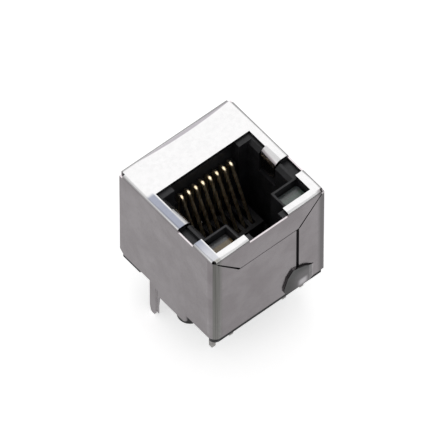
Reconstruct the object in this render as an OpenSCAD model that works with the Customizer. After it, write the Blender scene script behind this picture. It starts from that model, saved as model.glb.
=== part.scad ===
// Top-entry shielded modular jack with two indicators and built-in line magnetics.
// X runs along the width, the latch side faces -Y, the contacts stand at +Y, and +Z is up.
// The origin is the centre of the footprint, on the surface of the circuit board.

/* [Shield] */
// Width of the shield over its side walls
shield_w = 16.06; // [15.8:0.01:17.2]
// Depth of the shield over its front wall and side walls, without the rear wall
shield_d = 16.26; // [16.1:0.01:18]
// Height of the shield's roof above the board
shield_h = 16.3; // [15.8:0.05:18]
// Thickness of the folded sheet
sheet = 0.2; // [0.15:0.01:0.25]
// Outside radius of the folds around the roof
fold_r = 0.4; // [0.3:0.02:0.5]
// Outside radius of the upright fold at the front left corner
corner_r = 1.1; // [0.6:0.05:1.3]
// Outside radius of the upright fold at the front right corner
tight_corner_r = 0.25; // [0.25:0.05:1.1]
// Height of the walls' lower edge above the board
wall_lift = 1.5; // [1.2:0.05:1.8]
// Width of the seams beside the front flap
seam = 0.22; // [0.1:0.01:0.3]
// Height of the front flap, from the roof to its lower edge
flap_h = 3.95; // [3.2:0.05:5]
// Length of the flap's lower edge
flap_foot = 8.3; // [7:0.1:9.5]
// Distance of the upright slot in the front wall from the middle
slot_x = 4.07; // [3.7:0.05:4.4]
// Width of that slot
slot_w = 0.4; // [0.25:0.05:0.6]
// Height of the slot's lower end above the board
slot_z = 4.6; // [4:0.1:6]
// Length of the skirt along each side wall
skirt_len = 6.3; // [5:0.1:8]
// Distance of the skirt's rear end from the shield's middle plane
skirt_back = 2.97; // [2:0.05:4]
// Width of the solder tail at the rear end of each skirt
tail_w = 1.6; // [1.4:0.05:2]
// Radius of the solder tails' tips
tail_tip_r = 0.42; // [0.3:0.02:0.5]
// Reach of the solder tails below the board's surface
tail_drop = 4.15; // [3:0.05:5]

/* [Roof opening] */
// Width of the opening over the plug port
opening_w = 13.46; // [13.1:0.02:13.8]
// Distance from the port's rear edge to the opening's rear edge
opening_back = 0.77; // [0.5:0.01:1]
// Length of the side notches, which reach the side walls
notch_len = 2.65; // [1.5:0.05:3]
// Length of the grounding fingers behind the notches
finger_len = 2.5; // [1.8:0.05:2.8]
// Outside radius of the fold that turns a finger down into the port
finger_fold_r = 0.95; // [0.8:0.05:1.1]
// Set-back of that fold's start behind the opening's edge
finger_root = 0.2; // [0.1:0.05:0.25]
// Straight length of a finger below its fold
finger_drop = 2.6; // [1.5:0.1:3]
// Lean of the fingers towards the plug, in degrees
finger_lean = 4; // [0:0.5:5]

/* [Port] */
// Width of the plug cavity
port_w = 11.9; // [11.7:0.05:12.1]
// Distance of the cavity's floor above the board
port_floor = 3.4; // [3:0.1:4]
// Size of the lead-in chamfer around the mouth
lead_in = 0.45; // [0.2:0.05:0.6]
// Width of the latch keyway
keyway_w = 6.4; // [6.2:0.05:6.5]
// Reach of the latch keyway in front of the plug cavity
keyway_d = 2.55; // [2.4:0.05:2.7]
// Width of the gap between the two latch catches
catch_gap = 4.2; // [3.8:0.05:5]
// Height of the latch catches
catch_h = 1.6; // [1.2:0.1:2.2]
// Depth of the latch keyway below the roof
keyway_drop = 9.2; // [8:0.1:10.5]
// Half width of the front arms of the roof beside the latch
latch_half = 2.8; // [2.5:0.05:3]

/* [Contacts] */
// Spacing of the contact wires
contact_pitch = 1.016; // [1:0.002:1.03]
// Diameter of a contact wire
wire_d = 0.46; // [0.36:0.02:0.5]
// Centre-line radius of the hairpin at the top of a wire
hairpin_r = 0.4; // [0.35:0.01:0.45]
// Depth of the hairpins below the roof
hairpin_drop = 2.5; // [2:0.05:3]
// Slant of the spring arms from upright, in degrees
arm_slant = 25; // [20:0.5:27]
// Straight length of a spring arm
arm_len = 8.5; // [7.8:0.1:9]
// Height of the wires' lower legs above the board
leg_z = 4.9; // [4.7:0.05:5.2]

/* [Indicators] */
// Width of an indicator
led_w = 3.0; // [2.6:0.05:3.1]
// Depth of an indicator
led_d = 2.0; // [1.7:0.05:2.1]
// Height of an indicator
led_h = 5.0; // [3:0.1:7]
// Distance of an indicator's top below the housing's top
led_sink = 1.1; // [0.6:0.05:2]
// Distance between the centres of the two indicators
led_spacing = 10.2; // [10.16:0.02:10.3]
// Spacing of the two leads under an indicator
lead_pitch = 2.54; // [2:0.02:2.6]
// Side of the square leads
lead_size = 0.54; // [0.4:0.02:0.58]

/* [Footprint] */
// Reach of the pins and leads below the board's surface
pin_drop = 3.05; // [2.5:0.05:3.5]
// Diameter of a signal pin
pin_d = 0.5; // [0.4:0.02:0.56]
// Sideways step from one signal pin to the next
pin_pitch = 1.27; // [1.2:0.01:1.3]
// Distance between the two rows of signal pins
row_gap = 2.54; // [2.3:0.02:2.7]
// Diameter of a locating peg
peg_d = 3.0; // [2.6:0.05:3.1]
// Distance between the two locating pegs
peg_spacing = 11.43; // [11.1:0.01:11.8]
// Distance of the pegs behind the shield's front wall
peg_back = 6.88; // [6:0.02:8]
// Reach of the pegs below the board's surface
peg_drop = 2.6; // [2:0.1:3.2]
// Height of the feet under the housing
foot_h = 0.6; // [0.4:0.05:0.9]
// Side of the square feet under the pin block
foot_w = 1.0; // [0.8:0.1:1.4]

/* [Magnetics] */
// Depth of the chamber behind the port, which leaves the rest of the depth to the plug
magnetics_d = 4.13; // [4.05:0.01:4.4]
// Thickness of the upright circuit board
board_t = 0.8; // [0.6:0.05:1]
// Height of the pin block
block_h = 1.6; // [1.2:0.05:2]
// Outside diameter of a toroid core
core_d = 3.4; // [2.8:0.1:3.6]
// Inside diameter of a toroid core
core_bore = 1.5; // [1.3:0.05:1.8]
// Height of a toroid core
core_h = 1.1; // [0.8:0.05:1.2]
// Thickness of the wire wound on a core
winding_t = 0.22; // [0.12:0.02:0.26]
// Width of the block capacitor
capacitor_w = 2.0; // [1.2:0.1:2.3]
// Thickness of the block capacitor
capacitor_t = 1.4; // [0.8:0.1:1.6]
// Length of the block capacitor
capacitor_len = 4.5; // [3:0.1:5]
// Width of a chip resistor
resistor_w = 0.8; // [0.5:0.05:0.9]
// Thickness of a chip resistor
resistor_t = 0.45; // [0.3:0.05:0.6]
// Length of a chip resistor
resistor_len = 1.6; // [1:0.1:2]

/* [Fits] */
// Clearance between the shield and the housing
shell_gap = 0.05; // [0.02:0.01:0.08]
// Clearance around wires, pins and leads in their holes
pin_gap = 0.04; // [0.02:0.01:0.08]
// Clearance between moulded pieces that slide together
slip_gap = 0.05; // [0.02:0.01:0.1]

/* [Hidden] */
contact_count = 8;
pin_count = 8;
coil_count = 4;
resistor_count = 4;
lead_count = 4;

$fn = 32;
wire_fn = 16;
// Overshoot of cutting bodies, so that no cut ends flush with a face
over = 0.5;

// Shield
half_w = shield_w / 2;
half_d = shield_d / 2;
roof_under = shield_h - sheet;
fold_z = shield_h - fold_r;
relief = fold_r + 0.1;
corner_gap = 0.05;
lap_gap = 0.03;
rear_gap = 0.05;
rear_y = half_d + rear_gap + sheet;
tongue_in = slot_x - 2.05;
tongue_out = slot_x + 2.3;
tongue_step = 0.8;

// Housing
body_half = half_w - sheet - shell_gap;
body_d = half_d - sheet - shell_gap;
body_top = roof_under - shell_gap;
rim_z = body_top - 0.15;
body_r = corner_r - sheet - shell_gap;
edge_chamfer = 0.15;
keyway_floor = shield_h - keyway_drop;
catch_z = rim_z - catch_h;

// Port, between the latch at the front and the contacts' upright legs at the rear
front_wall = 0.88;
leg_cover = 0.17;
leg_set_back = 0.72;
divider_back = body_d - magnetics_d;
leg_y = divider_back - leg_cover - wire_d / 2;
port_front = -half_d + sheet + front_wall + keyway_d;
port_back = leg_y - leg_set_back;
port_half = port_w / 2;
opening_y = port_back + opening_back;
notch_y = port_front;
notch_back = notch_y + notch_len;
bend_x = opening_w / 2 + finger_root;

// Contacts and the wall that divides the port from the magnetics
span = (contact_count - 1) * contact_pitch;
window_half = span / 2 + wire_d / 2 + 0.85;
hairpin_z = shield_h - hairpin_drop - wire_d / 2 - hairpin_r;
hairpin_y = leg_y - hairpin_r;
arm_top_y = hairpin_y - hairpin_r * cos(arm_slant);
arm_top_z = hairpin_z + hairpin_r * sin(arm_slant);
arm_end_y = arm_top_y - arm_len * sin(arm_slant);
arm_end_z = arm_top_z - arm_len * cos(arm_slant);
turn_r = 0.5;
flange_t = 0.85;
carrier_back = divider_back + flange_t;
carrier_top = hairpin_z - 0.6;
foot_t = 0.85;

// Magnetics behind the carrier
board_gap = 0.45;
board_y = carrier_back + board_gap;
board_back = board_y + board_t;
board_half = 6.3;
chamber_half = 6.9;
chamber_roof = 1;
block_z = foot_h;
board_z = block_z + block_h + slip_gap;
row_mid = board_y + board_t / 2;
pin_bend_z = board_z + 1.15;
tail_past_board = 0.4;
coil_y = board_back + winding_t + slip_gap;
coil_x = 3.2;
coil_gap = 0.2;
coil_r = core_d / 2 + winding_t;
low_coil_z = leg_z + wire_d / 2 + coil_gap + coil_r;
coil_z = [low_coil_z, low_coil_z + coil_r * 2 + coil_gap];
board_top = coil_z[1] + coil_r + coil_gap / 2;

// Indicators, centred over the roof's front corner windows
led_y = (port_front - 0.25 - half_d + sheet + front_wall) / 2;
led_top = body_top - led_sink;
led_z = led_top - led_h;
pocket_gap = 0.15;
pocket_front = led_y - led_d / 2 - pocket_gap;
pocket_back = led_y + led_d / 2 + pocket_gap;
pocket_out = led_spacing / 2 + led_w / 2 + pocket_gap;
peg_y = -half_d + peg_back;

// A block between two corners
module block(low, high) {
    translate(low) cube(high - low);
}

// The same block on both sides of the middle plane
module block_pair(low, high) {
    block(low, high);
    mirror([1, 0, 0]) block(low, high);
}

// An outline drawn in X and Z, extruded along Y and centred there
module along_y(length) {
    rotate([90, 0, 0]) linear_extrude(length, center = true) children();
}

// An outline drawn in Y and Z, extruded along X and centred there
module along_x(length) {
    rotate([90, 0, 90]) linear_extrude(length, center = true) children();
}

// A quarter of a bent sheet's section, in the quadrant of +X and +Y
module quarter_bend(outer) {
    intersection() {
        difference() {
            circle(outer);
            circle(outer - sheet);
        }
        square(outer);
    }
}

// Plan outline with a rounded front left corner and a front right corner of its own radius
module rounded_front(half_x, half_y, left_r, right_r) {
    difference() {
        square([half_x * 2, half_y * 2], center = true);
        translate([-half_x, -half_y]) square(left_r);
        translate([half_x - right_r, -half_y]) square(right_r);
    }
    translate([-half_x + left_r, -half_y + left_r]) circle(left_r);
    translate([half_x - right_r, -half_y + right_r]) circle(right_r);
}

// Both outlines of the front flap; grow widens it by the seam
module flap_outline(grow) {
    foot = flap_foot / 2 + grow;
    head = half_w - relief / 2 + grow;
    polygon([[-foot, shield_h - flap_h - grow / 2], [foot, shield_h - flap_h - grow / 2],
             [head, shield_h], [-head, shield_h]]);
}

// Roof sheet with its opening, and the folds along its four edges, the rear one set back
module roof() {
    difference() {
        union() {
            block([-half_w + fold_r, -half_d + fold_r, roof_under],
                  [half_w - fold_r, rear_y - fold_r, shield_h]);
            for (s = [0, 1]) mirror([s, 0, 0]) {
                translate([half_w - fold_r, 0, fold_z])
                    along_y(shield_d - relief * 2) quarter_bend(fold_r);
            }
            translate([0, rear_y - fold_r, fold_z])
                along_x(shield_w - relief * 2) quarter_bend(fold_r);
            mirror([0, 1, 0]) translate([0, half_d - fold_r, fold_z])
                along_x(shield_w - relief * 2) quarter_bend(fold_r);
        }
        roof_opening();
    }
}

// Everything cut out of the roof: port, side notches, indicator windows and latch
module roof_opening() {
    low = fold_z;
    high = shield_h + over;
    block([-opening_w / 2, port_front - over, low], [opening_w / 2, opening_y, high]);
    block([-bend_x, notch_y, low], [bend_x, notch_back + finger_len, high]);
    block([-half_w - over, notch_y, low], [half_w + over, notch_back, high]);
    block([-pocket_out, pocket_front, low], [pocket_out, port_front, high]);
    block([-latch_half, -half_d - over, low], [latch_half, port_front, high]);
}

// Outline of a side wall that starts at a front corner fold, with its skirt and solder tail
module side_outline(front_r) {
    skirt_front = skirt_back - skirt_len;
    difference() {
        union() {
            translate([-half_d + front_r, wall_lift])
                square([shield_d - front_r, fold_z - wall_lift]);
            translate([skirt_front, 0]) square([skirt_len, wall_lift + over]);
            tail_outline();
        }
        translate([half_d, wall_lift]) rotate(45) square(0.9, center = true);
        translate([skirt_front, 0]) rotate(45) square(0.6, center = true);
    }
}

// Solder tail, straight at the rear and tapered at the front towards a round tip
module tail_outline() {
    tip_y = skirt_back - tail_tip_r - 0.15;
    tip_z = tail_tip_r - tail_drop;
    front = skirt_back - tail_w;
    translate([tip_y, tip_z]) circle(tail_tip_r);
    polygon([
        [skirt_back, over], [skirt_back, tip_z + 0.7], [tip_y + tail_tip_r, tip_z],
        [tip_y - tail_tip_r, tip_z], [front + 0.27, tip_z + 0.7], [front + 0.05, -1], [front, over]]);
}

// Stiffening groove pressed down the front half of a solder tail
module tail_groove(r) {
    groove_low = tail_tip_r - tail_drop + 0.5;
    translate([half_w + 0.22, skirt_back - 1.18, groove_low]) cylinder(h = 1 - groove_low, r = r);
}

// Both side walls, each up to the fold at its front corner
module side_walls() {
    translate([half_w - sheet / 2, 0, 0]) along_x(sheet) side_outline(tight_corner_r);
    translate([-half_w + sheet / 2, 0, 0]) along_x(sheet) side_outline(corner_r);
}

// Rear wall folded down from the roof, which covers the rear edges of the side walls
module rear_wall() {
    half = half_w - relief;
    block([-half, rear_y - sheet, wall_lift], [half, rear_y, fold_z]);
}

// Front wall made of the side walls' wrapped ends, parted by the slot
module front_wall_panels() {
    difference() {
        translate([0, 0, wall_lift]) linear_extrude(fold_z - corner_gap - wall_lift) {
            intersection() {
                difference() {
                    rounded_front(half_w, half_d, corner_r, tight_corner_r);
                    rounded_front(half_w - sheet, half_d - sheet, corner_r - sheet, tight_corner_r - sheet);
                }
                union() {
                    translate([-half_w, -half_d]) square([half_w, corner_r]);
                    translate([0, -half_d]) square([half_w, tight_corner_r]);
                }
            }
        }
        translate([0, -half_d, 0]) along_y(sheet * 4) flap_outline(seam);
        block([slot_x - slot_w / 2, -half_d - over, 0],
              [slot_x + slot_w / 2, -half_d + over, shield_h]);
        // Below the slot the right panel gives way to its own raised tongue
        intersection() {
            translate([0, -half_d, 0]) along_y(sheet * 4) tongue_outline(seam / 2);
            block([slot_x, -half_d - over, 0], [tongue_out, -half_d + over, shield_h]);
        }
    }
}

// Flap folded down from the roof
module flap() {
    translate([0, -half_d + sheet / 2, 0]) along_y(sheet) intersection() {
        flap_outline(0);
        translate([-half_w, 0]) square([shield_w, fold_z]);
    }
}

// Tongue of the right panel, stepped out by one sheet and lapped over the left panel
module lap_tongue() {
    step_in = sheet * 0.4;
    y = -half_d;
    lapped = y - lap_gap;
    intersection() {
        linear_extrude(shield_h) polygon([
            [tongue_in - over, lapped - sheet], [tongue_out - tongue_step, lapped - sheet],
            [tongue_out, y], [tongue_out + over, y], [tongue_out + over, y + sheet],
            [tongue_out - step_in, y + sheet], [tongue_out - tongue_step - step_in, lapped],
            [tongue_in - over, lapped]]);
        translate([0, y, 0]) along_y(sheet * 6) tongue_outline(0);
    }
}

// Outline of the tongue, with a rounded nose; grow raises the upper edge by a seam
module tongue_outline(grow) {
    low = wall_lift;
    nose_r = 0.85;
    polygon([
        [tongue_in + nose_r, low], [tongue_out + 0.2, low],
        [tongue_out + 0.2, slot_z - 0.95 + grow], [slot_x + 0.93, slot_z + 0.18 + grow],
        [slot_x + 0.06, slot_z + 0.49 + grow], [slot_x - 0.77, slot_z + 0.7 + grow],
        [slot_x - 1.53, slot_z - 0.2], [tongue_in, low + nose_r + 0.5], [tongue_in, low + nose_r]]);
    translate([tongue_in + nose_r, low + nose_r]) circle(nose_r);
}

// Grounding finger turned down into the port from the opening's edge on the +X side
module ground_finger() {
    mid_y = notch_back + finger_len / 2;
    translate([bend_x, mid_y, shield_h - finger_fold_r]) along_y(finger_len) {
        mirror([1, 0]) quarter_bend(finger_fold_r);
        translate([-finger_fold_r, 0]) rotate(finger_lean)
            translate([0, -finger_drop]) square([sheet, finger_drop]);
        translate([-finger_fold_r, -sheet / 4]) square([sheet, sheet / 2]);
    }
}

module shield() {
    color("#a39ea6") difference() {
        union() {
            roof();
            flap();
            rear_wall();
            front_wall_panels();
            lap_tongue();
            side_walls();
            for (s = [0, 1]) mirror([s, 0, 0]) {
                ground_finger();
                intersection() {
                    tail_groove(0.28 + sheet);
                    block([half_w - 1, -half_d, -tail_drop], [half_w, half_d, shield_h]);
                }
            }
        }
        for (s = [0, 1]) mirror([s, 0, 0]) tail_groove(0.28);
    }
}

// Cuts that shape the plug cavity, its lead-in and the recesses for the fingers
module port_cuts() {
    top = shield_h + over;
    block([-port_half, port_front, port_floor], [port_half, port_back, top]);
    along_y_at(port_front, port_back) polygon([[-port_half, rim_z - lead_in],
        [-port_half - lead_in, rim_z], [-port_half - lead_in, top],
        [port_half + lead_in, top], [port_half + lead_in, rim_z], [port_half, rim_z - lead_in]]);
    finger_floor = shield_h - finger_fold_r - finger_drop - over;
    block_pair([port_half - over, notch_back - 0.15, finger_floor],
               [opening_w / 2 + 0.1, notch_back + finger_len + 0.15, top]);
}

// An outline drawn in X and Z, extruded from one Y to another
module along_y_at(from, to) {
    translate([0, (from + to) / 2, 0]) along_y(to - from) children();
}

// Cuts for the latch: keyway, gap between the catches, and the room under them
module latch_cuts() {
    top = shield_h + over;
    keyway_y = port_front - keyway_d;
    block([-keyway_w / 2, keyway_y, keyway_floor], [keyway_w / 2, port_front + over, top]);
    block([-catch_gap / 2, -half_d - over, keyway_floor], [catch_gap / 2, keyway_y + over, top]);
    block([-keyway_w / 2, -half_d - over, keyway_floor], [keyway_w / 2, keyway_y + over, catch_z]);
}

// Pockets for the indicators, with channels for their leads
module indicator_cuts() {
    block_pair([led_spacing / 2 - led_w / 2 - pocket_gap, pocket_front, led_z - slip_gap],
               [pocket_out, pocket_back, shield_h + over]);
    channel = lead_size / 2 + pin_gap;
    for (i = [1:lead_count]) {
        block([lead_x(i) - channel, led_y - channel, 0], [lead_x(i) + channel, led_y + channel, led_z]);
    }
}

// Window for the contacts and the chamber for the magnetics
module rear_cuts() {
    block([-window_half, port_back - over, port_floor], [window_half, divider_back + over, shield_h + over]);
    block([-chamber_half, divider_back, -over], [chamber_half, half_d, body_top - chamber_roof]);
}

// Coring under the port's floor and the relief along the lower side edges
module underside_cuts() {
    core_top = port_floor - 0.8;
    difference() {
        block([-peg_spacing / 2 + peg_d / 2 + 0.7, port_front + 0.4, 0],
              [peg_spacing / 2 - peg_d / 2 - 0.7, port_back - 0.2, core_top]);
        block([-0.4, port_front, 0], [0.4, port_back, core_top]);
        cylinder(h = core_top, d = 2.8);
    }
    block([-2.6, -body_d + 0.8, 0], [2.6, port_front - 0.4, core_top]);
    block_pair([body_half - 0.4, -body_d + body_r, 0], [half_w, divider_back + 1.2, foot_h + 0.5]);
}

// Chamfers along the top edges, which clear the inside of the shield's folds
module top_chamfers() {
    side = edge_chamfer * sqrt(2);
    for (s = [-1, 1]) {
        translate([s * body_half, 0, body_top]) along_y(shield_d) rotate(45) square(side, center = true);
        translate([0, s * body_d, body_top]) along_x(shield_w) rotate(45) square(side, center = true);
    }
}

// Locating pegs with a shoulder and a chamfered tip, and the feet that stand on the board
module pegs_and_feet() {
    tip = 0.3;
    shoulder_d = peg_d + 0.8;
    for (s = [-1, 1]) translate([s * peg_spacing / 2, peg_y, 0]) {
        cylinder(h = foot_h + over, d = shoulder_d);
        translate([0, 0, tip - peg_drop]) cylinder(h = peg_drop - tip + port_floor, d = peg_d);
        translate([0, 0, -peg_drop]) cylinder(h = tip, d1 = peg_d - tip * 2, d2 = peg_d);
    }
    cylinder(h = port_floor, d = 2.4);
    for (s = [-1, 1]) {
        translate([s * 2.2, port_front - 1.2, 0]) block([-0.6, -0.5, 0], [0.6, 0.5, foot_h + 2.5]);
    }
}

module housing() {
    color("#1d1d20") union() {
        difference() {
            translate([0, 0, foot_h]) linear_extrude(body_top - foot_h)
                rounded_front(body_half, body_d, body_r, 0.1);
            top_chamfers();
            // The frame around the port stands a little lower than the rest
            block([-half_w, -half_d, rim_z], [half_w, opening_y + 0.3, shield_h]);
            block_pair([opening_w / 2, notch_y + 0.05, rim_z - 0.45],
                       [half_w, notch_back - 0.05, shield_h]);
            port_cuts();
            latch_cuts();
            indicator_cuts();
            rear_cuts();
            underside_cuts();
        }
        pegs_and_feet();
    }
}

// Position of a wire, pin or lead in its row
function contact_x(i) = (i - (contact_count + 1) / 2) * contact_pitch;
function pin_x(i) = (i - (pin_count + 1) / 2) * pin_pitch;
function pin_side(i) = i % 2 == 0 ? 1 : -1;
function lead_x(i) = (i <= 2 ? -1 : 1) * led_spacing / 2 + (i % 2 == 0 ? 1 : -1) * lead_pitch / 2;

// Insert that carries the wires' upright legs, with a foot and a comb for their free ends
module contact_carrier() {
    inner = window_half - slip_gap;
    foot_z = port_floor + slip_gap;
    foot_top = foot_z + foot_t;
    lip_back = arm_end_y - wire_d / 2 - pin_gap;
    lip_front = lip_back - 0.5;
    comb_top = arm_end_z + 1;
    slot_half = wire_d / 2 + pin_gap;
    leg_front = leg_y - wire_d / 2 - slip_gap;
    block_low = leg_z + turn_r + slip_gap;
    cheek_in = span / 2 + wire_d / 2 + 0.15;
    flange_half = chamber_half - 1.2;
    color("#26262a") difference() {
        union() {
            block([-inner, leg_front, block_low], [inner, divider_back + over, carrier_top]);
            block([-flange_half, divider_back + slip_gap, block_low],
                  [flange_half, carrier_back, body_top - chamber_roof - slip_gap]);
            block([-inner, lip_front, foot_z], [inner, leg_front, foot_top]);
            block_pair([cheek_in, leg_front - 1, foot_z], [inner, divider_back, block_low + over]);
            block([-inner, lip_front, foot_z], [inner, leg_front - 1, comb_top]);
        }
        for (i = [1:contact_count]) translate([contact_x(i), 0, 0]) {
            block([-slot_half, lip_back, foot_top], [slot_half, leg_front, comb_top + over]);
            block([-slot_half, leg_front - over, block_low - over], [slot_half, leg_y, carrier_top + over]);
            translate([0, leg_y, block_low - over])
                cylinder(h = carrier_top - block_low + over * 2, r = slot_half, $fn = wire_fn);
        }
    }
}

// Contact wire: free end in the comb, slanting arm, hairpin, upright leg, turn and tail
module contact(i) {
    r = wire_d / 2;
    // The arm is drawn a hair thinner and runs a little way into the hairpin
    arm_r = r - 0.01;
    arm_root = 0.05;
    tail_end = board_back + tail_past_board;
    color("#d6b56a") translate([contact_x(i), 0, 0]) {
        translate([0, arm_end_y, arm_end_z]) rotate([-arm_slant, 0, 0])
            cylinder(h = arm_len + arm_root, r = arm_r, $fn = wire_fn);
        translate([0, hairpin_y, hairpin_z]) wire_turn(hairpin_r, 180 - arm_slant, 0);
        translate([0, leg_y, leg_z + turn_r])
            cylinder(h = hairpin_z - leg_z - turn_r, r = r, $fn = wire_fn);
        translate([0, leg_y + turn_r, leg_z + turn_r]) wire_turn(turn_r, 90, 180);
        translate([0, leg_y + turn_r, leg_z]) rotate([-90, 0, 0])
            cylinder(h = tail_end - leg_y - turn_r, r = r, $fn = wire_fn);
    }
}

// Bent wire in the YZ plane: it starts at an angle from +Y and turns towards +Z
module wire_turn(bend_r, sweep, start, d = wire_d) {
    rotate([90, 0, 90]) rotate(start) rotate_extrude(angle = sweep, $fn = wire_fn)
        translate([bend_r, 0]) circle(d = d, $fn = wire_fn);
}

// Moulded block that closes the chamber from below and guides the signal pins
module pin_block() {
    low_y = divider_back + slip_gap;
    half = chamber_half - slip_gap;
    foot_inset = 0.4;
    color("#26262a") difference() {
        union() {
            block([-half, low_y, block_z], [half, body_d, block_z + block_h]);
            block_pair([half - foot_inset - foot_w, body_d - foot_inset - foot_w, 0],
                       [half - foot_inset, body_d - foot_inset, block_z + over]);
        }
        for (i = [1:pin_count]) translate([pin_x(i), row_mid + pin_side(i) * row_gap / 2, -over])
            cylinder(h = block_h + foot_h + over * 2, d = pin_d + pin_gap * 2, $fn = wire_fn);
    }
}

// Signal pin: upright in the block, then bent over and through the board
module signal_pin(i) {
    side = pin_side(i);
    reach = row_gap / 2 - turn_r + board_t / 2 + tail_past_board;
    pin_y = row_mid + side * row_gap / 2;
    tip = 0.15;
    color("#c9c6c0") translate([pin_x(i), pin_y, 0]) mirror([0, side > 0 ? 0 : 1, 0]) {
        translate([0, 0, -pin_drop])
            cylinder(h = tip, d1 = pin_d - tip * 2, d2 = pin_d, $fn = wire_fn);
        translate([0, 0, tip - pin_drop])
            cylinder(h = pin_drop - tip + pin_bend_z - turn_r, d = pin_d, $fn = wire_fn);
        translate([0, -turn_r, pin_bend_z - turn_r]) wire_turn(turn_r, 90, 0, pin_d);
        translate([0, -turn_r, pin_bend_z]) rotate([90, 0, 0])
            cylinder(h = reach, d = pin_d, $fn = wire_fn);
    }
}

// Upright circuit board, drilled for the wires' tails and the signal pins
module magnetics_board() {
    color("#2f5b3a") difference() {
        block([-board_half, board_y, board_z], [board_half, board_back, board_top]);
        for (i = [1:contact_count]) board_hole(contact_x(i), leg_z, wire_d);
        for (i = [1:pin_count]) board_hole(pin_x(i), pin_bend_z, pin_d);
    }
}

// Plated hole through the board
module board_hole(x, z, d) {
    translate([x, board_y - over, z]) rotate([-90, 0, 0])
        cylinder(h = board_t + over * 2, d = d + pin_gap * 2, $fn = wire_fn);
}

// Places something at one of the four coil positions, with its axis along +Y
module at_coil(i) {
    x = (i % 2 == 0 ? 1 : -1) * coil_x;
    z = coil_z[i <= 2 ? 0 : 1];
    translate([x, coil_y, z]) rotate([-90, 0, 0]) children();
}

module toroid_core(i) {
    color("#4c4a4d") at_coil(i) difference() {
        cylinder(h = core_h, d = core_d);
        translate([0, 0, -over]) cylinder(h = core_h + over * 2, d = core_bore);
    }
}

// Winding around a core's section, open where its two ends leave
module winding(i) {
    gap_angle = 40;
    clear = pin_gap;
    wall = (core_d - core_bore) / 2;
    color("#8d3b26") at_coil(i) rotate(gap_angle / 2 + 90) rotate_extrude(angle = 360 - gap_angle)
        difference() {
            translate([core_bore / 2 - winding_t, -winding_t])
                square([wall + winding_t * 2, core_h + winding_t * 2]);
            translate([core_bore / 2 - clear, -clear]) square([wall + clear * 2, core_h + clear * 2]);
        }
}

// Block capacitor between the coils, with metal end caps left to the finish
module ground_capacitor() {
    size = [capacitor_w, capacitor_t, capacitor_len];
    mid_z = (coil_z[0] + coil_z[1]) / 2;
    color("#8a7a62") block([-size[0] / 2, board_back + slip_gap, mid_z - size[2] / 2],
                           [size[0] / 2, board_back + slip_gap + size[1], mid_z + size[2] / 2]);
}

// Chip resistors beside the coils
module termination_resistor(i) {
    size = [resistor_w, resistor_t, resistor_len];
    x = (i % 2 == 0 ? 1 : -1) * (board_half - size[0] / 2 - 0.1);
    z = coil_z[i <= 2 ? 0 : 1];
    color("#1f1f1f") block([x - size[0] / 2, board_back + slip_gap, z - size[2] / 2],
                           [x + size[0] / 2, board_back + slip_gap + size[1], z + size[2] / 2]);
}

// Indicator body with rounded upright edges and sockets for its two leads
module led(side) {
    edge_r = 0.3;
    half_x = led_w / 2 - edge_r;
    half_y = led_d / 2 - edge_r;
    socket = lead_size / 2 + pin_gap;
    translate([side * led_spacing / 2, led_y, led_z]) difference() {
        linear_extrude(led_h) {
            square([led_w, half_y * 2], center = true);
            square([half_x * 2, led_d], center = true);
            for (x = [-half_x, half_x], y = [-half_y, half_y]) translate([x, y]) circle(edge_r);
        }
        for (s = [-1, 1]) translate([s * lead_pitch / 2, 0, 0])
            block([-socket, -socket, -over], [socket, socket, led_socket]);
    }
}
led_socket = 1.2;

module led_left() {
    color("#8a6d2c") led(-1);
}

module led_right() {
    color("#7f9184") led(1);
}

// Square lead from inside the indicator down through the housing, with a pointed tip
module led_lead(i) {
    half = lead_size / 2;
    tip = 0.2;
    color("#c9c6c0") translate([lead_x(i), led_y, 0]) {
        block([-half, -half, tip - pin_drop], [half, half, led_z + led_socket - pin_gap]);
        translate([0, 0, -pin_drop]) rotate(45)
            cylinder(h = tip, r1 = half * 0.8, r2 = half * sqrt(2), $fn = 4);
    }
}

shield();
housing();
contact_carrier();
pin_block();
magnetics_board();
ground_capacitor();
led_left();
led_right();
for (i = [1:lead_count]) led_lead(i);
for (i = [1:contact_count]) contact(i);
for (i = [1:pin_count]) signal_pin(i);
for (i = [1:coil_count]) toroid_core(i);
for (i = [1:coil_count]) winding(i);
for (i = [1:resistor_count])
    termination_resistor(i);
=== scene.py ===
"""Looks of a shielded top-entry jack: materials, small moulded details, floor, lights and camera."""
import math

import bmesh
import bpy
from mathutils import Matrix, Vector


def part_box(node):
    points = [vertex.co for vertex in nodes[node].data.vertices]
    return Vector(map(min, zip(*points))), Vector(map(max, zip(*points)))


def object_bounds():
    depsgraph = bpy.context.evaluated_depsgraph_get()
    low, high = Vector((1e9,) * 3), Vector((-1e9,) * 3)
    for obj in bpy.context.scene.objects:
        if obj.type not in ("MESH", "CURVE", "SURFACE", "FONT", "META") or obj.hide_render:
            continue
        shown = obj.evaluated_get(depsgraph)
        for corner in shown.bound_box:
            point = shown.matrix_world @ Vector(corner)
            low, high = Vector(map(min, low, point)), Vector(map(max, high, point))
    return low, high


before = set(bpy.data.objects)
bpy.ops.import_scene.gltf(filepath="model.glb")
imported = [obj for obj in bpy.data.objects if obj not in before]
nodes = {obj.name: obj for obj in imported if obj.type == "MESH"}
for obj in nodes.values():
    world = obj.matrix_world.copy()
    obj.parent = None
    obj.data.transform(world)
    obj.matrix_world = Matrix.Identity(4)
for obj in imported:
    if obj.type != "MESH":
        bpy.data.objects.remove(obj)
cad_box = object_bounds()

MM = 0.001
# Places on the shield, in millimetres; the lapped tongue stands a little proud of the front wall
SHIELD_LOW, SHIELD_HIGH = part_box("shield")
TONGUE_PROUD = 0.23
HALF_W = SHIELD_HIGH.x / MM
FRONT_Y = SHIELD_LOW.y / MM + TONGUE_PROUD
REAR_Y = SHIELD_HIGH.y / MM
ROOF_Z = SHIELD_HIGH.z / MM


# Nodes shared by the materials, the world and the floor ------------------------

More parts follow.
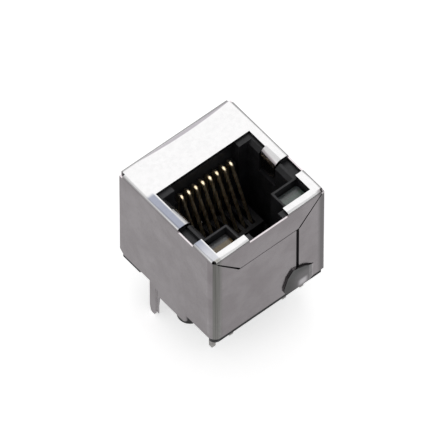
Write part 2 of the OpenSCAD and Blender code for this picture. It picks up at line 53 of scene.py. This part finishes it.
def fill(tree, sockets, values):
    """Sets each socket to its number, or links it to its source."""
    for socket, value in zip(sockets, values):
        if isinstance(value, (int, float)):
            socket.default_value = value
        else:
            tree.links.new(value, socket)


def smooth_ramp(tree, value, low, high, out_low=0.0, out_high=1.0):
    """A smooth step from out_low at low to out_high at high; low is the smaller one."""
    made = tree.nodes.new("ShaderNodeMapRange")
    made.interpolation_type = "SMOOTHSTEP"
    tree.links.new(value, made.inputs["Value"])
    sockets = [made.inputs[name] for name in ("From Min", "From Max", "To Min", "To Max")]
    fill(tree, sockets, (low, high, out_low, out_high))
    return made.outputs["Result"]


def chosen(tree, factor, otherwise, value):
    """value where factor is 1, and otherwise elsewhere; both can be numbers or sockets."""
    made = tree.nodes.new("ShaderNodeMix")
    tree.links.new(factor, made.inputs["Factor"])
    fill(tree, (made.inputs[2], made.inputs[3]), (otherwise, value))
    return made.outputs[0]


def ray_kinds(tree):
    """Factors that are 1 for rays from the camera, and for rays from gloss or through glass."""
    path = tree.nodes.new("ShaderNodeLightPath")
    gloss = tree.nodes.new("ShaderNodeMath")
    gloss.operation = "MAXIMUM"
    tree.links.new(path.outputs["Is Glossy Ray"], gloss.inputs[0])
    tree.links.new(path.outputs["Is Transmission Ray"], gloss.inputs[1])
    return path.outputs["Is Camera Ray"], gloss.outputs[0]


# Materials -------------------------------------------------------------------

class Paint:
    """A node material in the making, with its shader and the object's coordinates in millimetres."""

    def __init__(self, name, **inputs):
        self.material = bpy.data.materials.new(name)
        self.material.use_nodes = True
        self.tree = self.material.node_tree
        self.shader = self.tree.nodes["Principled BSDF"]
        for socket, value in inputs.items():
            self.shader.inputs[socket.replace("_", " ")].default_value = value
        coordinates = self.tree.nodes.new("ShaderNodeTexCoord")
        self.mm = self.math_vector("SCALE", coordinates.outputs["Object"], scale=1 / MM)

    def node(self, kind, **settings):
        made = self.tree.nodes.new(kind)
        for key, value in settings.items():
            setattr(made, key, value)
        return made

    def link(self, source, target):
        self.tree.links.new(source, target)

    def math_vector(self, operation, vector, other=None, scale=None):
        made = self.node("ShaderNodeVectorMath", operation=operation)
        self.link(vector, made.inputs[0])
        if other is not None:
            made.inputs[1].default_value = other
        if scale is not None:
            made.inputs["Scale"].default_value = scale
        return made.outputs["Vector"]

    def noise(self, size, detail=3.0, stretch=(1, 1, 1), roughness=0.5):
        """Noise whose blobs are about size millimetres across, drawn out by stretch."""
        place = self.math_vector("DIVIDE", self.mm, other=[size * s for s in stretch])
        made = self.node("ShaderNodeTexNoise")
        made.inputs["Scale"].default_value = 1.0
        made.inputs["Detail"].default_value = detail
        made.inputs["Roughness"].default_value = roughness
        self.link(place, made.inputs["Vector"])
        return made.outputs["Fac"]

    def axis(self, index):
        """One coordinate in millimetres."""
        made = self.node("ShaderNodeSeparateXYZ")
        self.link(self.mm, made.inputs[0])
        return made.outputs[index]

    def ramp(self, value, *limits):
        return smooth_ramp(self.tree, value, *limits)

    def mix(self, factor, first, second):
        made = self.node("ShaderNodeMix", data_type="RGBA")
        self.link(factor, made.inputs["Factor"])
        for socket, colour in ((6, first), (7, second)):
            if isinstance(colour, tuple):
                made.inputs[socket].default_value = (*colour, 1)
            else:
                self.link(colour, made.inputs[socket])
        return made.outputs[2]

    def math(self, operation, *values):
        made = self.node("ShaderNodeMath", operation=operation)
        fill(self.tree, made.inputs, values)
        return made.outputs[0]

    def product(self, first, second):
        return self.math("MULTIPLY", first, second)

    def distance_to(self, value, place):
        return self.math("ABSOLUTE", self.math("SUBTRACT", value, place))

    def colour(self, socket):
        self.link(socket, self.shader.inputs["Base Color"])
        return self

    def rough(self, socket):
        self.link(socket, self.shader.inputs["Roughness"])
        return self

    def bump(self, *layers):
        """Stacks layers of (height 0 to 1, depth in millimetres)."""
        normal = None
        for height, depth in layers:
            made = self.node("ShaderNodeBump")
            made.inputs["Distance"].default_value = depth * MM
            self.link(height, made.inputs["Height"])
            if normal is not None:
                self.link(normal, made.inputs["Normal"])
            normal = made.outputs["Normal"]
        self.link(normal, self.shader.inputs["Normal"])
        return self


def roof_tones(paint, base):
    """The roof is cleaner than the walls; a darker bluish band along its left arm and a darker wedge along
    its rear edge, bowed in plan, are painted reflections.
    """
    x, y = paint.axis(0), paint.axis(1)
    up = paint.ramp(paint.axis(2), ROOF_Z - 0.3, ROOF_Z - 0.1)
    base = paint.mix(up, base, (0.305, 0.303, 0.304))
    # Painted reflection: a darker bluish band along the roof's left arm.
    left_band_painted_reflection = paint.product(paint.ramp(x, 1.05 - HALF_W, 1.25 - HALF_W, 1, 0),
                            paint.ramp(x, 0.10 - HALF_W, 0.35 - HALF_W))
    left_band_painted_reflection = paint.product(left_band_painted_reflection, paint.ramp(y, 3.3, 3.9, 1, 0))
    left_band_painted_reflection = paint.product(left_band_painted_reflection, paint.ramp(y, -7, -4, 0.5, 1))
    base = paint.mix(paint.product(up, left_band_painted_reflection), base, (0.123, 0.130, 0.156))
    # Painted reflection: a darker wedge along the rear edge, its front boundary bowed in plan.
    bow = paint.math("POWER", paint.distance_to(x, 1.5), 2)
    rear_band_reach = paint.math("SUBTRACT", paint.math("SUBTRACT", y, REAR_Y - 0.78), paint.product(bow, 0.008))
    rear_painted_reflection = paint.product(paint.ramp(rear_band_reach, 0, 0.12), paint.ramp(y, REAR_Y - 0.4, REAR_Y - 0.25, 1, 0))
    return paint.mix(paint.product(up, rear_painted_reflection), base, (0.170, 0.162, 0.172))


def fold_shade_and_scores(paint, base):
    """Darker bands in the front corner bends are painted shade; the left one carries fine scores of the
    folding tool.
    """
    x = paint.axis(0)
    front = paint.ramp(paint.axis(1), FRONT_Y + 0.55, FRONT_Y + 0.45)
    scores = paint.ramp(paint.noise(0.14, detail=1, stretch=(1, 1, 80)), 0.45, 0.7)
    # Painted shade in the left corner bend, broken by fine scores of the folding tool.
    scored_painted_shade = paint.mix(scores, (0.205, 0.202, 0.192), (0.155, 0.152, 0.144))
    left = paint.product(paint.ramp(x, 0.75 - HALF_W, 1.45 - HALF_W, 1, 0),
                         paint.ramp(x, 0.20 - HALF_W, 0.24 - HALF_W))
    # Painted shade in the right corner bend.
    right = paint.ramp(x, HALF_W - 1.2, HALF_W - 0.5)
    base = paint.mix(paint.product(front, left), base, scored_painted_shade)
    return paint.mix(paint.product(front, right), base, (0.160, 0.151, 0.154))


def tongue_shade_and_highlight(paint, base):
    """The lapped tongue has painted shade along its left and upper edges and a painted highlight low
    towards its right.
    """
    lapped = paint.ramp(paint.axis(1), FRONT_Y - 0.05, FRONT_Y - 0.1)
    across, up = paint.axis(0), paint.axis(2)
    # Painted shade: darker towards the tongue's left and upper edges.
    tone = paint.mix(paint.ramp(across, 2.6, 4.6), (0.060, 0.059, 0.058), (0.150, 0.143, 0.147))
    tone = paint.mix(paint.ramp(up, 3.4, 4.8), tone, (0.078, 0.078, 0.078))
    # Painted highlight low towards the tongue's right.
    tongue_painted_highlight = paint.product(paint.ramp(paint.distance_to(across, 4.7), 0.9, 0.2),
                             paint.ramp(paint.distance_to(up, 2.2), 0.8, 0.2))
    tone = paint.mix(tongue_painted_highlight, tone, (0.52, 0.50, 0.52))
    return paint.mix(lapped, base, tone)


def tin_sheet():
    """Satin tin plate: cloudy grey, rolled lines and handling marks, with painted reflections on the roof,
    painted shade in the front corner bends with the folding tool's scores, and painted shade and a painted
    highlight on the lapped tongue.
    """
    paint = Paint("tin_sheet", Metallic=1.0)
    clouds = paint.noise(3.2, detail=4)
    stains = paint.noise(0.9, detail=5, roughness=0.7)
    base = paint.mix(paint.ramp(clouds, 0.35, 0.65), (0.262, 0.240, 0.248), (0.305, 0.283, 0.292))
    base = paint.mix(paint.ramp(stains, 0.60, 0.74), base, (0.245, 0.228, 0.230))
    base = roof_tones(paint, base)
    base = fold_shade_and_scores(paint, base)
    base = tongue_shade_and_highlight(paint, base)
    paint.colour(base)
    paint.rough(paint.ramp(paint.noise(0.5, detail=4), 0.3, 0.7, 0.17, 0.27))
    lines = paint.noise(0.05, detail=2, stretch=(1, 1, 60))
    grain = paint.noise(0.04, detail=2)
    waves = paint.noise(6.0, detail=1)
    return paint.bump((waves, 0.04), (lines, 0.0010), (grain, 0.0006)).material


def moulded(name, dark, light, roughness):
    """Black glass-filled plastic with the fine spark-eroded grain of its mould."""
    paint = Paint(name, Specular_IOR_Level=0.16)
    paint.colour(paint.mix(paint.ramp(paint.noise(1.4, detail=4), 0.35, 0.65), dark, light))
    paint.rough(paint.ramp(paint.noise(0.3), 0.3, 0.7, roughness - 0.06, roughness + 0.06))
    return paint.bump((paint.noise(0.09, detail=3), 0.004), (paint.noise(1.8), 0.01)).material


def plated(name, dark, light, roughness):
    """Bright plated wire with faint drawing marks."""
    paint = Paint(name, Metallic=1.0)
    paint.colour(paint.mix(paint.ramp(paint.noise(0.5, detail=3), 0.35, 0.65), dark, light))
    paint.rough(paint.ramp(paint.noise(0.2), 0.3, 0.7, roughness - 0.04, roughness + 0.04))
    return paint.bump((paint.noise(0.04, stretch=(1, 1, 12)), 0.002)).material


def laminate():
    """Green varnished board with the weave of its glass cloth and paler copper areas below."""
    paint = Paint("board_laminate", Coat_Weight=0.4, Coat_Roughness=0.15)
    copper = paint.ramp(paint.noise(1.1, detail=1, stretch=(0.5, 1, 2.2)), 0.50, 0.53)
    paint.colour(paint.mix(copper, (0.020, 0.085, 0.035), (0.045, 0.16, 0.06)))
    paint.rough(paint.ramp(paint.noise(0.3), 0.3, 0.7, 0.3, 0.42))
    return paint.bump((copper, 0.015), (paint.noise(0.12), 0.003)).material


def resin(name, back, front, split, blend):
    """Tinted resin of an indicator: behind the split in Y it is darker and greyer."""
    paint = Paint(name, Coat_Weight=0.15, Coat_Roughness=0.1,
                  Specular_IOR_Level=0.3, Subsurface_Weight=0.15)
    paint.shader.inputs["Subsurface Scale"].default_value = 0.5 * MM
    behind = paint.ramp(paint.axis(1), split - blend, split + blend)
    mottled = paint.mix(paint.ramp(paint.noise(0.5), 0.35, 0.7), front, tuple(c * 0.8 for c in front))
    paint.colour(paint.mix(behind, mottled, back))
    paint.rough(paint.ramp(paint.noise(0.4), 0.3, 0.7, 0.22, 0.34))
    return paint.bump((paint.noise(0.25), 0.006)).material


def ferrite():
    """Dark pressed ferrite with a thin coat."""
    paint = Paint("ferrite", Coat_Weight=0.2)
    clouds = paint.ramp(paint.noise(0.4), 0.35, 0.65)
    paint.colour(paint.mix(clouds, (0.03, 0.028, 0.03), (0.06, 0.055, 0.06)))
    paint.rough(paint.ramp(paint.noise(0.2), 0.3, 0.7, 0.45, 0.6))
    return paint.bump((paint.noise(0.06), 0.004)).material


def enamelled_wire():
    """Turns of enamelled wire side by side, drawn as fine ridges."""
    paint = Paint("enamelled_wire", Metallic=0.6, Coat_Weight=0.8, Coat_Roughness=0.12)
    turns = paint.node("ShaderNodeTexWave", wave_type="BANDS", bands_direction="DIAGONAL")
    turns.inputs["Scale"].default_value = 1.6
    turns.inputs["Distortion"].default_value = 0.8
    paint.link(paint.mm, turns.inputs["Vector"])
    paint.colour(paint.mix(turns.outputs["Fac"], (0.10, 0.02, 0.006), (0.50, 0.15, 0.05)))
    paint.rough(paint.ramp(turns.outputs["Fac"], 0.0, 1.0, 0.4, 0.2))
    return paint.bump((turns.outputs["Fac"], 0.05)).material


def ceramic():
    """Tan ceramic of the block capacitor."""
    paint = Paint("ceramic")
    clouds = paint.ramp(paint.noise(0.5, detail=4), 0.4, 0.65)
    paint.colour(paint.mix(clouds, (0.32, 0.23, 0.13), (0.42, 0.31, 0.19)))
    paint.rough(paint.ramp(paint.noise(0.2), 0.3, 0.7, 0.4, 0.55))
    return paint.bump((paint.noise(0.08), 0.004)).material


def chip_coat():
    """Black glaze over the chip resistors."""
    paint = Paint("chip_coat", Coat_Weight=0.3)
    clouds = paint.ramp(paint.noise(0.3), 0.4, 0.6)
    paint.colour(paint.mix(clouds, (0.012, 0.012, 0.013), (0.03, 0.03, 0.032)))
    paint.rough(paint.ramp(paint.noise(0.15), 0.3, 0.7, 0.3, 0.45))
    return paint.bump((paint.noise(0.07), 0.003)).material


# The share of an indicator's depth, from the front, that shows its own tint
TINTED_SHARE = 0.62
LED_LOW, LED_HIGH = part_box("led_left")
LED_SPLIT = (LED_LOW.y + TINTED_SHARE * (LED_HIGH.y - LED_LOW.y)) / MM
FINISHES = {
    "shield": tin_sheet(),
    "housing": moulded("black_housing", (0.010, 0.010, 0.011), (0.017, 0.017, 0.019), 0.42),
    "contact_carrier": moulded("black_insert", (0.009, 0.009, 0.010), (0.015, 0.015, 0.017), 0.5),
    "contact_": plated("gold_wire", (0.55, 0.45, 0.30), (0.72, 0.62, 0.45), 0.32),
    "signal_pin_": plated("tin_wire", (0.30, 0.29, 0.28), (0.42, 0.41, 0.40), 0.25),
    "magnetics_board": laminate(),
    "led_left": resin("amber_resin", (0.040, 0.040, 0.042), (0.150, 0.100, 0.032), LED_SPLIT, 0.15),
    "led_right": resin("green_resin", (0.055, 0.065, 0.064), (0.085, 0.120, 0.100), LED_SPLIT, 0.2),
    "toroid_core_": ferrite(),
    "winding_": enamelled_wire(),
    "ground_capacitor": ceramic(),
    "termination_resistor_": chip_coat(),
}
FINISHES["pin_block"] = FINISHES["contact_carrier"]
FINISHES["led_lead_"] = FINISHES["signal_pin_"]


def finish_of(name):
    """The finish for a CAD node: its own, or the one for its numbered series."""
    return FINISHES.get(name) or FINISHES[name.rstrip("0123456789")]


# Edge radius in millimetres that a modifier gives each node's sharp edges, and what counts as sharp
SHARP = math.radians(35)
WELD_WITHIN = 0.001 * MM
EDGES = {"shield": 0.04, "housing": 0.07, "contact_carrier": 0.04, "pin_block": 0.05,
         "led_left": 0.08, "led_right": 0.08, "magnetics_board": 0.04}


def dress(name, obj):
    """Gives a CAD node its finish and slightly rounded edges."""
    obj.data.materials.clear()
    obj.data.materials.append(finish_of(name))
    if name in EDGES:
        weld = obj.modifiers.new("weld", "WELD")
        weld.merge_threshold = WELD_WITHIN
        edge = obj.modifiers.new("edge", "BEVEL")
        edge.width = EDGES[name] * MM
        edge.segments = 2
        edge.limit_method = "ANGLE"
        edge.angle_limit = SHARP
        edge.harden_normals = False
        edge.use_clamp_overlap = True


for name, obj in nodes.items():
    dress(name, obj)


# Floor, light and camera -----------------------------------------------------

# Strength of the world as a light
SKY_LIGHT = 0.45


def make_world():
    """White to the camera; gloss sees a pale room that is dim near the horizon, most of all in front."""
    world = bpy.data.worlds.new("studio")
    world.use_nodes = True
    tree = world.node_tree
    background = tree.nodes["Background"]
    background.inputs["Color"].default_value = (1, 1, 1, 1)
    direction = tree.nodes.new("ShaderNodeTexCoord")
    place = tree.nodes.new("ShaderNodeSeparateXYZ")
    tree.links.new(direction.outputs["Generated"], place.inputs[0])
    horizon = smooth_ramp(tree, place.outputs["Y"], -0.3, 0.2, 0.45, 1.2)
    room = smooth_ramp(tree, place.outputs["Z"], 0.35, 0.6, horizon, 2.2)
    camera, gloss = ray_kinds(tree)
    seen = chosen(tree, gloss, SKY_LIGHT, room)
    tree.links.new(chosen(tree, camera, seen, 1.0), background.inputs["Strength"])
    bpy.context.scene.world = world


def make_floor(height):
    """A wide white floor that keeps the object's shadow; gloss sees it dimmer."""
    mesh = bpy.data.meshes.new("floor")
    build = bmesh.new()
    bmesh.ops.create_grid(build, x_segments=1, y_segments=1, size=2.5)
    build.to_mesh(mesh)
    build.free()
    floor = bpy.data.objects.new("floor", mesh)
    floor.location.z = height
    bpy.context.scene.collection.objects.link(floor)
    material = bpy.data.materials.new("floor_white")
    material.use_nodes = True
    tree = material.node_tree
    shader = tree.nodes["Principled BSDF"]
    shader.inputs["Roughness"].default_value = 0.9
    shader.inputs["Specular IOR Level"].default_value = 0.0
    shader.inputs["Emission Color"].default_value = (1, 1, 1, 1)
    camera, gloss = ray_kinds(tree)
    tree.links.new(chosen(tree, gloss, 0.9, 0.45), shader.inputs["Base Color"])
    glow = chosen(tree, camera, chosen(tree, gloss, 0.0, 0.55), 0.6)
    tree.links.new(glow, shader.inputs["Emission Strength"])
    mesh.materials.append(material)


def make_softbox(name, middle, direction, distance, size, power):
    """A square area light at a distance in a direction from the object's middle, facing it."""
    light = bpy.data.lights.new(name, "AREA")
    light.shape = "SQUARE"
    light.size = size
    light.energy = power
    lamp = bpy.data.objects.new(name, light)
    lamp.location = middle + Vector(direction).normalized() * distance
    lamp.rotation_mode = "QUATERNION"
    lamp.rotation_quaternion = (middle - lamp.location).to_track_quat("-Z", "Y")
    bpy.context.scene.collection.objects.link(lamp)


# The view: degrees from the front and above the board, and metres from the object
AZIMUTH, ELEVATION = math.radians(-39.89), math.radians(54.46)
DISTANCE, LENS, SENSOR = 1.6, 1171.3, 36
# What the view is centred on: a height on the object's axis, then a hair to its left and down
AIM_HEIGHT, AIM_LEFT, AIM_DOWN = 9.06 * MM, 0.0255 * MM, 0.2614 * MM


def make_camera():
    """A very long lens, as flat as the catalogue view it follows."""
    back = Vector((math.sin(AZIMUTH) * math.cos(ELEVATION),
                   -math.cos(AZIMUTH) * math.cos(ELEVATION), math.sin(ELEVATION)))
    right = Vector((math.cos(AZIMUTH), math.sin(AZIMUTH), 0))
    up = back.cross(right)
    target = Vector((0, 0, AIM_HEIGHT)) - right * AIM_LEFT - up * AIM_DOWN
    data = bpy.data.cameras.new("camera")
    data.lens = LENS
    data.sensor_width = SENSOR
    data.clip_start, data.clip_end = 0.1, 10
    camera = bpy.data.objects.new("camera", data)
    camera.location = target + back * DISTANCE
    camera.rotation_mode = "QUATERNION"
    camera.rotation_quaternion = back.to_track_quat("Z", "Y")
    bpy.context.scene.collection.objects.link(camera)
    bpy.context.scene.camera = camera


box_middle = (cad_box[0] + cad_box[1]) / 2
make_world()
make_floor(cad_box[0].z - 0.02 * MM)
make_softbox("top_box", box_middle, (0.37, 0.45, 0.81), 0.35, 0.22, 0.16)
make_softbox("left_box", box_middle, (-0.9, -0.1, 0.7), 0.4, 0.25, 0.12)
make_softbox("front_box", box_middle, (0.1, -0.9, 0.6), 0.4, 0.25, 0.1)
make_camera()
bpy.context.scene.view_settings.view_transform = "Standard"
